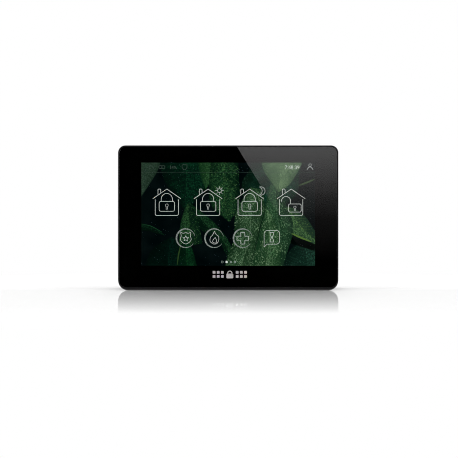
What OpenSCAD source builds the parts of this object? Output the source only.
// Wall-mounted alarm keypad with a touch screen behind one sheet of cover glass.
//
// The origin is the centre of the wall screw pattern, on the wall's surface.
// x runs to the right as seen from the room, z runs up, and the front faces -y.
// "Depth" below always means the distance in front of the wall, which is -y.

/* [Panel] */
// Width of the front
panel_w = 196; // [195:1:200]
// Height of the front
panel_h = 129; // [128:1:132]
// Depth from the wall to the front of the rim
panel_d = 22; // [22:0.5:24]
// Corner radius at the top
top_corner_r = 6.5; // [5.5:0.5:8]
// Corner radius at the bottom
bottom_corner_r = 8.5; // [7:0.5:9.5]
// Rim beside the glass, at the top and sides
rim = 1.2; // [1:0.1:1.6]
// Rim below the glass
chin = 2.9; // [2.4:0.1:3.6]
// Thickness of the front frame's skirt
skirt_wall = 2; // [1.6:0.1:2.2]

/* [Screen] */
// Width of the picture
screen_w = 154.8; // [150:0.1:155]
// Height of the picture
screen_h = 91.9; // [88:0.1:92]
// Height of the picture's centre above the panel's centre
screen_z = 3.3; // [3:0.1:3.6]
// Thickness of the cover glass
glass_t = 1.6; // [1.4:0.1:1.8]

/* [Wall base] */
// Thickness of the base's plate
base_plate_t = 2.2; // [2:0.1:2.4]
// Thickness of the base's upstanding wall
base_wall = 1.8; // [1.6:0.1:2]
// Depth of the base's upstanding wall
base_wall_d = 9.5; // [9:0.1:9.6]
// Distance between the wall screws, across
wall_screw_dx = 160; // [158:1:162]
// Distance between the wall screws, up
wall_screw_dz = 84; // [82:1:86]
// Radius of the wall screw holes
wall_hole_r = 2.25; // [2:0.05:2.5]
// Distance between the two slots for a wall box
box_slot_dx = 60; // [58:0.5:62]
// Width of the cable opening
cable_w = 40; // [38:1:40]
// Height of the cable opening
cable_h = 34; // [32:1:34]

/* [Hinge] */
// Radius of the pivot beads
pivot_r = 1.2; // [1.1:0.05:1.25]
// Clearance between a bead and its saddle
pivot_gap = 0.08; // [0.06:0.01:0.1]
// Distance of each bead from the middle
pivot_x = 60; // [55:1:65]
// Height of the pivot axis
pivot_z = 59.5; // [59.3:0.1:59.6]
// Depth of the pivot axis
pivot_d = 10; // [9.9:0.1:10.1]

/* [Circuit board] */
// Width of the board
board_w = 130; // [128:1:130]
// Height of the board
board_h = 88; // [86:1:88]
// Thickness of the board
board_t = 1.6; // [1.4:0.1:1.6]
// Place of the board's middle, across
board_x = -14; // [-15:1:-14]

/* [Hidden] */

// Depths of the layers, from the front to the back.
layer_gap = 0.05;
glass_front = panel_d - 0.2;
glass_back = glass_front - glass_t;
print_front = glass_back - layer_gap;
print_back = print_front - 0.1;
adhesive_back = print_back - 0.15;
sensor_front = adhesive_back - 0.02;
sensor_back = sensor_front - 0.6;
ledge_front = print_back - 0.25;
ledge_back = ledge_front - 1.5;
bezel_front = sensor_back - 0.5;
cell_front = bezel_front - 0.35;
cell_back = cell_front - 1.2;
film_front = cell_back - layer_gap;
film_back = film_front - 0.4;
guide_front = film_back - layer_gap;
guide_back = guide_front - 2;
tray_back = guide_back - 0.7;
chassis_front = tray_back;
chassis_back = chassis_front - 1.2;
board_front = chassis_back - 1.5;
board_back = board_front - board_t;

// Outlines.
slice_t = 0.05;
glass_gap = 0.1;
glass_w = panel_w - 2 * (rim + glass_gap);
glass_h = panel_h - rim - chin - 2 * glass_gap;
glass_z = (chin - rim) / 2;
glass_r = 5.6;
skirt_back = 7.5;
hollow_w = panel_w - 2 * skirt_wall;
hollow_h = panel_h - 2 * skirt_wall;
window_w = screen_w + 15.2;
window_h = screen_h + 14.1;
sensor_w = window_w - 2;
sensor_h = window_h - 2;
tray_w = screen_w + 10.2;
tray_h = screen_h + 11.1;
tray_wall = 0.8;
cell_w = tray_w - 2;
cell_h = tray_h - 2;
tray_low = screen_z - tray_h / 2;
bezel_w = tray_w + 1.4;
bezel_h = tray_h + 1.4;
bezel_wall = 0.3;
chassis_w = panel_w - 9;
chassis_h = panel_h - 7;
base_w = panel_w - 7;
base_h = panel_h - 9;
base_r = 5;

// Screws.
chassis_screw_x = panel_w / 2 - 8.5;
chassis_screw_z = panel_h / 2 - 5.9;
chassis_screws_at = [
    for (x = [-1, 0, 1], z = [-1, 1]) [x * chassis_screw_x, z * chassis_screw_z]
];
board_screws_at = [
    for (x = [-1, 0, 1], z = [-1, 1]) [board_x + x * (board_w / 2 - 4), z * (board_h / 2 - 4)]
];

// Ribbon cables.
ribbon_t = 0.2;
connector_z = 3.5 - board_h / 2;
connector_h = 4.4;
lcd_flex_x = 15;
lcd_flex_w = 30;
lcd_flex_low = tray_low - 2.2;
touch_flex_x = -30;
touch_flex_w = 12;
touch_flex_low = tray_low - 1.2;

// Parts on the back of the board: [x, z] of each middle.
terminal_at = [0.5, -28];
terminal_pitch = 5.08;
terminal_poles = 4;
header_at = [-58, -26];
header_pitch = 2.54;
tamper_at = [34, -24];
tamper_screw_at = [34, -37];
sd_at = [-67.8, 16];
speaker_at = [69, -10];
speaker_plug_at = [47.4, -2];

// Wall base details.
snap_x = 45;
vent_pitch = 4;
vent_d = [3.4, 6.8];

// Backlight.
light_strip_h = 2.2;

// Terminal block and service header.
terminal_back = board_back - 7;
terminal_size = [terminal_poles * terminal_pitch + 0.4, 9.6];
terminal_poles_at = [
    for (i = [0:terminal_poles - 1])
        [terminal_at[0] + (i - (terminal_poles - 1) / 2) * terminal_pitch, terminal_at[1]]
];
header_pins_at = [
    for (i = [-1.5:1.5], j = [-0.5:0.5])
        [header_at[0] + i * header_pitch, header_at[1] + j * header_pitch]
];

// Card and its slot.
sd_card_size = [15, 11];
sd_card_depths = [board_back - 1.35, board_back - 0.55];

// Tamper switch depths.
tamper_body_back = 4.6;
tamper_cavity = [tamper_body_back + 0.7, board_back - 0.5];
tamper_stem_r = 1.5;
tamper_flange = [7.3, 7.9];
tamper_tip = 3.4;
tamper_pad = tamper_tip - 0.1;

// Speaker.
speaker_r = 14.5;
speaker_back = 7.8;
magnet_depths = [chassis_back - 2.4, chassis_back - 0.6];

// ---------------------------------------------------------------- helpers

// Extrudes a shape drawn in x and z between two depths.
module slab(back, front) {
    translate([0, -back, 0])
        rotate([90, 0, 0])
            linear_extrude(front - back)
                children();
}

// Extrudes a profile drawn in y and z from one x to another.
module along_x(x_low, x_high) {
    translate([x_low, 0, 0])
        rotate([90, 0, 90])
            linear_extrude(x_high - x_low)
                children();
}

// A rectangle with round corners, centred.
module rounded(w, h, r) {
    square([w - 2 * r, h], center = true);
    square([w, h - 2 * r], center = true);
    for (x = [-1, 1], z = [-1, 1])
        translate([x * (w / 2 - r), z * (h / 2 - r)])
            circle(r, $fn = 48);
}

// A flat ring between two rectangles with round corners.
module ring(outer, inner, outer_r, inner_r) {
    difference() {
        rounded(outer[0], outer[1], outer_r);
        rounded(inner[0], inner[1], inner_r);
    }
}

// A plate with round corners at [x, z], between two depths.
module plate(at, size, r, back, front) {
    translate([at[0], 0, at[1]])
        slab(back, front)
            rounded(size[0], size[1], r);
}

// A ring about the picture's centre, between two depths.
module plate_ring(outer, inner, outer_r, inner_r, back, front) {
    translate([0, 0, screen_z])
        slab(back, front)
            ring(outer, inner, outer_r, inner_r);
}

// A plain block at [x, z], between two depths.
module block(at, size, back, front) {
    translate([at[0], 0, at[1]])
        slab(back, front)
            square(size, center = true);
}

// A round post at [x, z], between two depths.
module post(at, r, back, front) {
    translate([at[0], -back, at[1]])
        rotate([90, 0, 0])
            cylinder(h = front - back, r = r, $fn = 48);
}

function unit(v) = v / norm(v);

// A tube of radius r along a path that never runs straight along y.
module tube(path, r, sides) {
    last = len(path) - 1;
    points = [
        for (i = [0:last])
            let (
                along = unit(path[min(i + 1, last)] - path[max(i - 1, 0)]),
                out = unit(cross(along, [0, 1, 0])),
                up = cross(along, out)
            )
            for (k = [0:sides - 1])
                path[i] + r * (out * cos(360 * k / sides) + up * sin(360 * k / sides))
    ];
    faces = concat(
        [[for (k = [0:sides - 1]) k]],
        [
            for (i = [0:last - 1], k = [0:sides - 1])
                let (next = (k + 1) % sides)
                [i * sides + k, (i + 1) * sides + k, (i + 1) * sides + next, i * sides + next]
        ],
        [[for (k = [sides - 1:-1:0]) last * sides + k]]
    );
    polyhedron(points, faces);
}

// A pan-head screw driven from the back, with a cross-shaped recess.
module pan_screw(at, head_r, head_t, shank_r, under_head, tip) {
    recess = head_r * 0.55;
    difference() {
        union() {
            post(at, head_r, under_head - head_t, under_head);
            post(at, shank_r, under_head - 0.1, tip);
        }
        for (size = [[2 * recess, 0.5], [0.5, 2 * recess]])
            block(at, size, under_head - head_t - 1, under_head - head_t * 0.4);
    }
}

// A U-shaped ribbon cable: one leg in front, a run to the back, and a leg behind.
module ribbon(x, w, front, back, low, front_top, back_top) {
    run = front - back;
    reach = 24;
    along_x(x - w / 2, x + w / 2)
        difference() {
            translate([-(front + back) / 2, low + reach / 2])
                ring([run, reach], [run - 2 * ribbon_t, reach - 2 * ribbon_t], 0.9, 0.9 - ribbon_t);
            translate([-front - 1, front_top])
                square([run, reach]);
            translate([-back - run / 2, back_top])
                square([run / 2 + 1, reach]);
        }
}

// ---------------------------------------------------------------- wall base

// Leaves a thin-walled tab round the tamper screw, held by four small bridges.
module tamper_tab_cut() {
    middle = (tamper_at + tamper_screw_at) / 2;
    size = [13, 27];
    cut = 0.8;
    bridge = 2;
    translate([middle[0], 0, middle[1]])
        slab(-1, base_plate_t + 1)
            difference() {
                ring(size, [size[0] - 2 * cut, size[1] - 2 * cut], 3, 3 - cut);
                square([size[0] + 1, bridge], center = true);
                square([bridge, size[1] + 1], center = true);
            }
}

// A bead on an arm that the front unit hangs from, with a gusset below.
module pivot_ear(x) {
    bead_w = 10;
    gusset_w = 2;
    neck = 0.8;
    arm_top = pivot_z - 2;
    arm_t = 2;
    plate_side = base_plate_t - 0.2;
    translate([x - bead_w / 2, -pivot_d, pivot_z])
        rotate([0, 90, 0])
            cylinder(h = bead_w, r = pivot_r, $fn = 48);
    along_x(x - bead_w / 2, x + bead_w / 2)
        polygon([
            [-plate_side, arm_top], [neck - pivot_d, arm_top], [neck - pivot_d, pivot_z],
            [-neck - pivot_d, pivot_z], [-neck - pivot_d, arm_top - arm_t], [-plate_side, arm_top - arm_t],
        ]);
    along_x(x - gusset_w / 2, x + gusset_w / 2)
        polygon([
            [-plate_side, arm_top - 1], [1.5 - pivot_d, arm_top - 1],
            [1.5 - pivot_d, arm_top - arm_t], [-plate_side, arm_top - arm_t - 6],
        ]);
}

// The nose on a snap tongue. It stays just clear of the front frame's skirt.
module snap_nose(x) {
    nose_w = 8;
    nose_low = 0.3 - hollow_h / 2;
    wall_low = -base_h / 2;
    along_x(x - nose_w / 2, x + nose_w / 2)
        polygon([
            [-base_wall_d, wall_low + 0.5], [-base_wall_d, wall_low], [0.8 - base_wall_d, nose_low],
            [1.5 - base_wall_d, nose_low], [2.2 - base_wall_d, wall_low + 0.5],
        ]);
}

// The two slots that free a snap tongue from the bottom wall.
module snap_cuts(x) {
    for (side = [-1, 1])
        translate([x + side * 5.5, -(3.2 + base_wall_d + 1) / 2, -base_h / 2])
            cube([1, base_wall_d + 1 - 3.2, 5], center = true);
}

// Slots through the base's four walls: sound on the right, air elsewhere.
module base_wall_slots() {
    depth = vent_d[1] - vent_d[0];
    middle = -(vent_d[0] + vent_d[1]) / 2;
    for (side = [-1, 1], i = [-3:3])
        translate([side * base_w / 2, middle, speaker_at[1] + i * vent_pitch])
            cube([6, depth, 1.6], center = true);
    for (i = [-5:5])
        translate([i * vent_pitch, middle, base_h / 2])
            cube([1.8, depth, 6], center = true);
}

module base_shell() {
    difference() {
        slab(0, base_wall_d)
            rounded(base_w, base_h, base_r);
        slab(base_plate_t, base_wall_d + 1)
            rounded(base_w - 2 * base_wall, base_h - 2 * base_wall, base_r - base_wall);
    }
}

module wall_screw_places() {
    for (x = [-1, 1], z = [-1, 1])
        translate([x * wall_screw_dx / 2, 0, z * wall_screw_dz / 2])
            children();
}

module wall_base() {
    boss_front = base_plate_t + 1.2;
    rim_front = base_plate_t + 1.4;
    rib_front = base_plate_t + 1;
    notch_back = pivot_d - 4.2;
    color("#2b2c2e")
        difference() {
            union() {
                base_shell();
                wall_screw_places()
                    post([0, 0], 7, base_plate_t - 0.2, boss_front);
                slab(base_plate_t - 0.2, rim_front)
                    rounded(cable_w + 3, cable_h + 3, 4.5);
                for (z = [-1, 1])
                    block([0, z * 51], [base_w - 8, 1.2], base_plate_t - 0.2, rib_front);
                for (x = [-1, 1])
                    block([x * 66, 0], [1.2, 103], base_plate_t - 0.2, rib_front);
                post(tamper_at, 4, base_plate_t - 0.2, tamper_pad);
                for (x = [-1, 1])
                    snap_nose(x * snap_x);
            }
            slab(-1, rim_front + 1)
                rounded(cable_w, cable_h, 3);
            wall_screw_places() {
                post([0, 0], wall_hole_r, -1, boss_front + 1);
                post([0, 0], 4.6, base_plate_t, boss_front + 1);
            }
            for (x = [-1, 1])
                translate([x * box_slot_dx / 2, 0, 0])
                    slab(-1, base_plate_t + 1)
                        rounded(8, 4.2, 2.09);
            tamper_tab_cut();
            post(tamper_screw_at, 1.75, -1, base_plate_t + 1);
            for (x = [-1, 1]) {
                snap_cuts(x * snap_x);
                translate([x * pivot_x, -(notch_back + 12) / 2, base_h / 2])
                    cube([13, 12 - notch_back, 6], center = true);
            }
            base_wall_slots();
        }
    color("#2b2c2e")
        for (x = [-1, 1])
            pivot_ear(x * pivot_x);
}

// ---------------------------------------------------------------- front frame

// How far an edge has curved in at a depth, when its curve starts `run` behind the front.
function edge_inset(depth, run, rise) =
    let (s = max(0, 1 - (panel_d - depth) / run))
    rise * (1 - sqrt(1 - s * s));

// A thin disc at one corner of a slice through the outside of the frame.
module corner_disc(x, z, r, depth) {
    translate([x, -depth, z])
        rotate([90, 0, 0])
            cylinder(h = slice_t, r = r, $fn = 32);
}

// The four corners of a slice, drawn in by `side` at the sides and top and by `low` at the bottom.
module outside_corners(depth, side, low) {
    for (x = [-1, 1]) {
        corner_disc(x * (panel_w / 2 - top_corner_r), panel_h / 2 - top_corner_r,
                    top_corner_r - side, depth);
        corner_disc(x * (panel_w / 2 - bottom_corner_r), bottom_corner_r - panel_h / 2 + low - side,
                    bottom_corner_r - side, depth);
    }
}

// The outside of the frame: small rounds at the sides and top, a deep round at the chin.
module outside() {
    steps = 8;
    edge_run = 0.9;
    chin_run = 3;
    chin_rise = 2.3;
    back_round = 0.6;
    hull() {
        outside_corners(skirt_back, back_round, back_round);
        outside_corners(skirt_back + back_round, 0, 0);
        for (i = [0:steps]) {
            depth = panel_d - slice_t - chin_run * (1 - sin(90 * i / steps));
            outside_corners(depth, edge_inset(depth + slice_t, edge_run, edge_run * 0.9),
                            edge_inset(depth + slice_t, chin_run, chin_rise));
        }
    }
}

// The block under the top wall that rests on a pivot bead.
module saddle(x) {
    saddle_w = 8;
    top = hollow_h / 2 + 0.5;
    along_x(x - saddle_w / 2, x + saddle_w / 2)
        translate([-pivot_d - 2.3, pivot_z])
            square([4.8, top - pivot_z]);
}

module front_frame() {
    boss_r = 2.4;
    pilot_r = 1;
    color("#141416")
        difference() {
            union() {
                difference() {
                    outside();
                    slab(skirt_back - 1, ledge_back)
                        rounded(hollow_w, hollow_h, 5);
                }
                for (at = chassis_screws_at)
                    post(at, boss_r, chassis_front, ledge_back + 0.2);
                for (x = [-1, 1])
                    saddle(x * pivot_x);
            }
            plate([0, glass_z], [glass_w + 2 * glass_gap, glass_h + 2 * glass_gap], glass_r + glass_gap,
                  ledge_front, panel_d + 1);
            plate([0, screen_z], [window_w, window_h], 2, ledge_back - 1, ledge_front + 1);
            for (at = chassis_screws_at)
                post(at, pilot_r, chassis_front - 1, ledge_back - 0.3);
            for (x = [-1, 1]) {
                translate([x * pivot_x - 6, -pivot_d, pivot_z])
                    rotate([0, 90, 0])
                        cylinder(h = 12, r = pivot_r + pivot_gap, $fn = 48);
                translate([x * snap_x, -9.3, -panel_h / 2])
                    cube([9, 1.6, 6], center = true);
            }
        }
}

// ---------------------------------------------------------------- glass and touch layers

module cover_glass() {
    color("#20242a")
        plate([0, glass_z], [glass_w, glass_h], glass_r, glass_back, glass_front);
}

// The black ink on the back of the glass, with a window for the picture.
module bezel_print() {
    edge = 0.2;
    color("black")
        difference() {
            plate([0, glass_z], [glass_w - 2 * edge, glass_h - 2 * edge], glass_r - edge,
                  print_back, print_front);
            block([0, screen_z], [screen_w, screen_h], print_back - 1, print_front + 1);
        }
}

// The adhesive ring that holds the glass on the frame's ledge.
module glass_tape() {
    edge = 1;
    color("#0c0c0c")
        difference() {
            plate([0, glass_z], [glass_w - 2 * edge, glass_h - 2 * edge], glass_r - edge,
                  ledge_front + 0.02, print_back - 0.02);
            plate([0, screen_z], [window_w + 1, window_h + 1], 2.5, ledge_front - 1, print_back + 1);
        }
}

// Clear adhesive between the sensor and the glass, filling the window in the ink.
module optical_adhesive() {
    color("#aab4bc")
        union() {
            block([0, screen_z], [sensor_w - 1, sensor_h - 1], adhesive_back, print_back - 0.02);
            block([0, screen_z], [screen_w - 0.3, screen_h - 0.3], adhesive_back, print_front);
        }
}

module touch_sensor() {
    color("#9fb0b8")
        plate([0, screen_z], [sensor_w, sensor_h], 1, sensor_back, sensor_front);
}

module touch_flex() {
    color("#c8862c")
        ribbon(touch_flex_x, touch_flex_w, sensor_back - 0.02, board_back - 0.6, touch_flex_low,
               touch_flex_low + 1.9, connector_z - connector_h / 2 - 0.1);
}

// ---------------------------------------------------------------- display module

module display_gasket() {
    color("#1a1a1a")
        plate_ring([screen_w + 9, screen_h + 9], [screen_w + 2.4, screen_h + 2.4], 2, 1,
                   bezel_front + 0.02, sensor_back - 0.25);
}

// The slot in the display's bottom edge that its ribbon leaves by.
module flex_notch(front) {
    block([lcd_flex_x, tray_low], [lcd_flex_w + 3, 6], cell_back - 0.2, front);
}

// The pressed steel frame round the front of the display.
module lcd_bezel() {
    color("#b9bcc0")
        difference() {
            plate([0, screen_z], [bezel_w, bezel_h], 1, tray_back + 1, bezel_front);
            plate([0, screen_z], [bezel_w - 2 * bezel_wall, bezel_h - 2 * bezel_wall], 0.7,
                  tray_back, bezel_front - bezel_wall);
            block([0, screen_z], [screen_w + 0.8, screen_h + 0.8], tray_back, bezel_front + 1);
            flex_notch(cell_front);
        }
}

module lcd_panel() {
    color("#0a0d10")
        block([0, screen_z], [cell_w, cell_h], cell_back, cell_front);
}

module diffuser_films() {
    color("#e9edf0")
        block([0, screen_z], [cell_w - 0.4, cell_h - 0.4], film_back, film_front);
}

module light_guide() {
    color("#d6e4ea")
        block([0, screen_z + light_strip_h / 2 + 0.2], [cell_w - 0.2, cell_h - light_strip_h - 0.6],
              guide_back, guide_front);
}

module reflector_sheet() {
    color("#f4f4f2")
        block([0, screen_z], [cell_w - 0.4, cell_h - 0.4], guide_back - 0.25, guide_back - 0.05);
}

// The strip of white light-emitting diodes along the light guide's bottom edge.
module backlight_strip() {
    strip_z = screen_z - cell_h / 2 + light_strip_h / 2;
    leds = 18;
    pitch = (cell_w - 12) / (leds - 1);
    color("#f2d64a") {
        block([0, strip_z - 0.75], [cell_w - 6, 0.5], guide_back + 0.1, guide_front - 0.1);
        for (i = [0:leds - 1])
            block([(i - (leds - 1) / 2) * pitch, strip_z + 0.1], [3.5, 1.3],
                  guide_back + 0.4, guide_front - 0.4);
    }
}

// The shallow tray that holds the cell, films and light guide.
module lcd_tray() {
    color("#c9ccd0")
        difference() {
            plate([0, screen_z], [tray_w, tray_h], 1, tray_back, cell_front - 0.2);
            block([0, screen_z], [tray_w - 2 * tray_wall, tray_h - 2 * tray_wall],
                  tray_back + 0.4, cell_front + 1);
            flex_notch(cell_front + 1);
        }
}

module lcd_flex() {
    color("#c8862c")
        ribbon(lcd_flex_x, lcd_flex_w, cell_front - 0.3, board_back - 0.6, lcd_flex_low,
               screen_z - cell_h / 2 - 0.1, connector_z - connector_h / 2 - 0.1);
}

// The aluminium plate behind the display, with stand-offs for the board.
module display_chassis() {
    standoff_r = 2.8;
    slot_h = 2.6;
    color("#a7abb0")
        difference() {
            union() {
                slab(chassis_back, chassis_front)
                    rounded(chassis_w, chassis_h, 4);
                for (at = board_screws_at)
                    post(at, standoff_r, board_front, chassis_back + 0.1);
            }
            for (at = chassis_screws_at)
                post(at, 1.5, chassis_back - 1, chassis_front + 1);
            for (at = board_screws_at)
                post(at, 1.15, board_front - 1, chassis_front + 1);
            plate([touch_flex_x, touch_flex_low], [touch_flex_w + 3, slot_h], 1,
                  chassis_back - 1, chassis_front + 1);
            plate([lcd_flex_x, lcd_flex_low], [lcd_flex_w + 4, slot_h], 1,
                  chassis_back - 1, chassis_front + 1);
            for (i = [0:5])
                plate([62 + 5 * i, 34], [2.4, 22], 1.15, chassis_back - 1, chassis_front + 1);
        }
}

module chassis_screws() {
    color("#8f9499")
        for (at = chassis_screws_at)
            pan_screw(at, 2.2, 1.3, 0.9, chassis_back, ledge_back - 0.8);
}

// ---------------------------------------------------------------- circuit board

module main_board() {
    color("#12412c")
        difference() {
            plate([board_x, 0], [board_w, board_h], 2, board_back, board_front);
            for (at = board_screws_at)
                post(at, 1.35, board_back - 1, board_front + 1);
            for (at = header_pins_at)
                block(at, [0.8, 0.8], board_back - 1, board_front + 1);
        }
}

module board_screws() {
    color("#8f9499")
        for (at = board_screws_at)
            pan_screw(at, 2.3, 1.4, 1.05, board_back, chassis_front - 0.2);
}

module processor() {
    color("#1b1c1e") {
        block([-36, 18], [17, 17], board_back - 0.45, board_back);
        plate([-36, 18], [15.4, 15.4], 0.6, board_back - 1.5, board_back - 0.45);
    }
}

module memory_chips() {
    color("#202124")
        for (z = [11, 25])
            block([-14, z], [14, 9.5], board_back - 1.1, board_back);
}

// A small chip body with a row of leads on each long side.
module leaded_chip(at, size, t, leads) {
    pitch = 1.27;
    lead_w = 0.45;
    block(at, size, board_back - t, board_back - 0.15);
    for (i = [0:leads - 1])
        block([at[0] + (i - (leads - 1) / 2) * pitch, at[1]], [lead_w, size[1] + 2.2],
              board_back - 0.2, board_back);
}

module small_chips() {
    color("#232427") {
        leaded_chip([44, 24], [5, 4], 1.5, 4);
        leaded_chip([44, 14], [5, 4], 1.5, 4);
        leaded_chip([-62, 34], [10, 4], 1.5, 8);
        leaded_chip([-40, -18], [10, 4], 1.5, 8);
        leaded_chip([-22, -18], [5, 4], 1.5, 4);
        leaded_chip([-62, -6], [5, 4], 1.5, 4);
        leaded_chip([22, -16], [5, 4], 1.5, 4);
    }
}

// Rows of chip resistors and capacitors beside the larger parts.
module chip_resistors() {
    rows = [[-50, 6, 9], [-50, 32, 8], [-20, 33, 9], [20, 30, 4], [-48, -10, 8], [-8, -12, 7], [28, -6, 6]];
    pitch = 3;
    color("#8a7a62")
        for (row = rows, i = [0:row[2] - 1])
            block([row[0] + i * pitch, row[1]], [0.9, 1.7], board_back - 0.5, board_back);
}

module crystal() {
    color("#c9ccce")
        plate([-52, 22], [5, 3.2], 0.8, board_back - 1.1, board_back);
}

module power_inductors() {
    color("#3a3b3d")
        for (x = [26, 35])
            difference() {
                block([x, 36.6], [7, 7], board_back - 3.4, board_back);
                post([x, 36.6], 2.6, board_back - 4, board_back - 3.1);
            }
}

module electrolytic_capacitors() {
    color("#c4c7ca")
        for (at = [[28, 8], [36, 8], [28, 19]]) {
            post(at, 3.15, board_back - 5.4, board_back - 0.7);
            block(at, [6.6, 6.6], board_back - 0.8, board_back);
        }
}

module flex_connector(x, w) {
    latch = 1.4;
    block([x, connector_z], [w, connector_h], board_back - 1, board_back);
    block([x, connector_z - connector_h / 2 + latch / 2], [w - 1.2, latch], board_back - 1.3, board_back - 0.9);
}

module lcd_connector() {
    color("#e4dfd0")
        difference() {
            flex_connector(lcd_flex_x, lcd_flex_w + 3);
            block([lcd_flex_x, connector_z - connector_h / 2], [lcd_flex_w + 0.4, 2],
                  board_back - 0.65, board_back - 0.35);
        }
}

module touch_connector() {
    color("#e4dfd0")
        difference() {
            flex_connector(touch_flex_x, touch_flex_w + 3);
            block([touch_flex_x, connector_z - connector_h / 2], [touch_flex_w + 0.4, 2],
                  board_back - 0.65, board_back - 0.35);
        }
}

module service_header() {
    color("#141414")
        difference() {
            block(header_at, [4 * header_pitch, 2 * header_pitch], board_back - 2.5, board_back);
            for (at = header_pins_at)
                block(at, [0.7, 0.7], board_back - 3, board_back + 1);
        }
}

module service_pins() {
    color("#d8b04a")
        for (at = header_pins_at)
            block(at, [0.64, 0.64], board_back - 6, board_front + 0.8);
}

// ---------------------------------------------------------------- terminal block

module terminal_block() {
    color("#1f6f45")
        difference() {
            block(terminal_at, terminal_size, terminal_back, board_back);
            for (at = terminal_poles_at) {
                post(at, 1.75, terminal_back - 1, board_back - 3.9);
                block([at[0], at[1] + 1.9], [4, 6.4], board_back - 4, board_back - 0.4);
            }
        }
}

module terminal_screws() {
    head_back = terminal_back + 0.6;
    color("#b5b8bb")
        for (at = terminal_poles_at)
            difference() {
                post(at, 1.6, head_back, board_back - 4.1);
                block(at, [2.6, 0.5], head_back - 1, head_back + 0.6);
            }
}

// The cages that the screws clamp a wire in. They open upwards.
module terminal_clamps() {
    color("#c9a24a")
        for (at = terminal_poles_at)
            difference() {
                block([at[0], at[1] + 1.6], [3.6, 5], board_back - 3.9, board_back - 0.5);
                block([at[0], at[1] + 1.6], [2.6, 6], board_back - 3.3, board_back - 1.1);
            }
}

// ---------------------------------------------------------------- card slot

module sd_socket() {
    size = [14.4, 14];
    end_wall = 1;
    color("#b9bcc0")
        difference() {
            block(sd_at, size, board_back - 1.75, board_back);
            block([sd_at[0] - end_wall, sd_at[1]], [size[0], sd_card_size[1] + 0.5],
                  board_back - 1.5, board_back - 0.4);
            block([sd_at[0] + 2, sd_at[1]], [5, 5], board_back - 3, board_back - 1);
        }
}

module sd_card() {
    card_x = sd_at[0] - 1.4;
    color("#2a2d33")
        difference() {
            plate([card_x, sd_at[1]], sd_card_size, 0.7, sd_card_depths[0], sd_card_depths[1]);
            block([card_x + 4.5, sd_at[1] + sd_card_size[1] / 2], [1.2, 1.4],
                  sd_card_depths[0] - 1, sd_card_depths[1] + 1);
        }
}

// ---------------------------------------------------------------- tamper switch

module tamper_switch() {
    color("#1c1c1e")
        difference() {
            block(tamper_at, [8, 8], tamper_body_back, board_back);
            post(tamper_at, 2.6, tamper_cavity[0], tamper_cavity[1]);
            post(tamper_at, tamper_stem_r + 0.06, tamper_body_back - 1, tamper_cavity[0] + 1);
        }
}

// A compression spring between the plunger's flange and the switch's floor.
module tamper_spring() {
    turns = 3;
    steps = 14;
    coil_r = 1.9;
    wire_r = 0.14;
    low = tamper_flange[1] + wire_r + 0.06;
    high = tamper_cavity[1] - wire_r - 0.06;
    path = [
        for (i = [0:turns * steps])
            let (a = 360 * i / steps, depth = low + (high - low) * i / (turns * steps))
            [tamper_at[0] + coil_r * cos(a), -depth, tamper_at[1] + coil_r * sin(a)]
    ];
    color("silver")
        tube(path, wire_r, 6);
}

module tamper_plunger() {
    color("#b7332b")
        union() {
            post(tamper_at, 2.3, tamper_flange[0], tamper_flange[1]);
            post(tamper_at, tamper_stem_r, tamper_tip, tamper_flange[0] + 0.1);
        }
}

// ---------------------------------------------------------------- speaker

// Turns a profile drawn in radius and depth about the speaker's axis.
module speaker_turn() {
    translate([speaker_at[0], 0, speaker_at[1]])
        rotate([90, 0, 0])
            rotate_extrude($fn = 96)
                children();
}

module speaker_magnet() {
    color("#55585c")
        speaker_turn()
            translate([0, magnet_depths[0]])
                square([8.2, magnet_depths[1] - magnet_depths[0]]);
}

module speaker_basket() {
    color("#4a4d50")
        speaker_turn()
            polygon([
                [0, magnet_depths[0] - 0.7], [7.6, magnet_depths[0] - 0.7], [12.4, speaker_back + 0.8],
                [12.4, speaker_back], [speaker_r, speaker_back], [speaker_r, speaker_back + 1.2],
                [13.2, speaker_back + 1.2], [8.4, magnet_depths[0]], [0, magnet_depths[0]],
            ]);
}

// A stiff paper cone with a rolled edge and a dust cap.
module speaker_cone() {
    back = speaker_back + 0.2;
    color("#17181a")
        speaker_turn()
            polygon([
                [0, back + 0.3], [2.4, back + 0.6], [4, back + 1.3], [10, back + 0.3], [11, back],
                [12.1, back + 0.3], [12.1, back + 0.5], [11, back + 0.25], [10, back + 0.55],
                [4, back + 1.55], [2.2, back + 0.85], [0, back + 0.55],
            ]);
}

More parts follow.
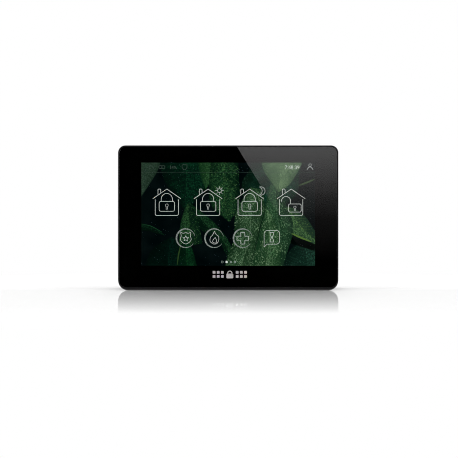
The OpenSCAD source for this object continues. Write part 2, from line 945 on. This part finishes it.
// The foam disc that glues the speaker to the chassis.
module speaker_gasket() {
    color("#303030")
        post(speaker_at, 7.8, magnet_depths[1], chassis_back);
}

// A point on a smooth curve that leaves a towards b and reaches d from c.
function curve(a, b, c, d, t) =
    a * pow(1 - t, 3) + 3 * b * t * pow(1 - t, 2) + 3 * c * t * t * (1 - t) + d * pow(t, 3);

// One insulated wire from the speaker's edge into its plug.
module speaker_wire(start, plug_side) {
    wire_r = 0.4;
    steps = 10;
    bend = 4.6;
    plug_depth = board_back - 1.9;
    plug = [speaker_plug_at[0] + plug_side * 1.3, -plug_depth, speaker_plug_at[1] - 1.4];
    tube([for (i = [0:steps]) curve(start, start - [bend, 0, 0], plug - [0, 0, bend], plug, i / steps)],
         wire_r, 8);
}

module speaker_wires() {
    edge = [speaker_at[0] - 13.4, -(speaker_back + 1.7), speaker_at[1]];
    color("#a32020")
        speaker_wire(edge, 1);
    color("#1b1b1b")
        speaker_wire(edge - [0, 0, 1.9], -1);
}

module speaker_connector() {
    color("#ece6d6")
        difference() {
            block(speaker_plug_at, [5.6, 4], board_back - 3.4, board_back);
            for (side = [-1, 1])
                block([speaker_plug_at[0] + side * 1.3, speaker_plug_at[1] - 2], [1.2, 2],
                      board_back - 2.6, board_back - 1.2);
        }
}

// ---------------------------------------------------------------- nodes

wall_base();
front_frame();
cover_glass();
bezel_print();
glass_tape();
optical_adhesive();
touch_sensor();
touch_flex();
display_gasket();
lcd_bezel();
lcd_panel();
diffuser_films();
light_guide();
reflector_sheet();
backlight_strip();
lcd_tray();
lcd_flex();
display_chassis();
chassis_screws();
main_board();
board_screws();
processor();
memory_chips();
small_chips();
chip_resistors();
crystal();
power_inductors();
electrolytic_capacitors();
lcd_connector();
touch_connector();
service_header();
service_pins();
terminal_block();
terminal_screws();
terminal_clamps();
sd_socket();
sd_card();
tamper_switch();
tamper_spring();
tamper_plunger();
speaker_magnet();
speaker_basket();
speaker_cone();
speaker_gasket();
speaker_wires();
speaker_connector();
